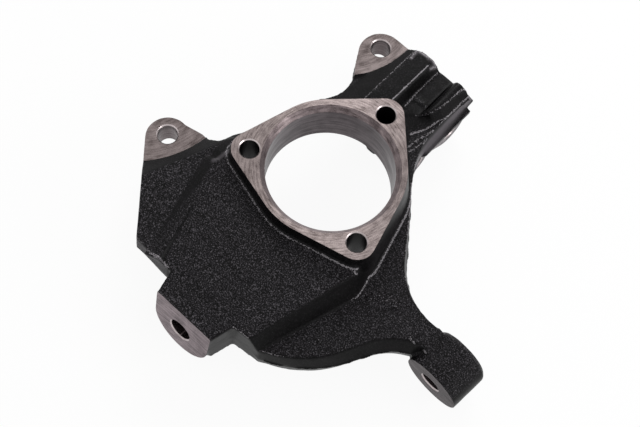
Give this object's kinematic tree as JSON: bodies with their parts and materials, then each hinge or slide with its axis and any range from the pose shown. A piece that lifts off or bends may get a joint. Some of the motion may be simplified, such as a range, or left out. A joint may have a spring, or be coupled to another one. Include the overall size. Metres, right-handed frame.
{
  "type": "steering knuckle",
  "caption": "Cast front steering knuckle: bearing bore and bolted hub flange, caliper ears, ball joint boss, tie rod arm and strut mount.",
  "frame": {"origin": "centre of the bearing bore on the machined hub face", "axes": "+Z outboard along the wheel axle, +Y up to the strut mount, +X to the tie rod arm"},
  "size_m": [0.2816, 0.2706, 0.0661],
  "materials": {
    "casting": "rough sand-cast iron with a black coat, machined faces and bores left bare"
  },
  "bodies": {
    "root": {"knuckle": "casting"}
  },
  "joints": []
}
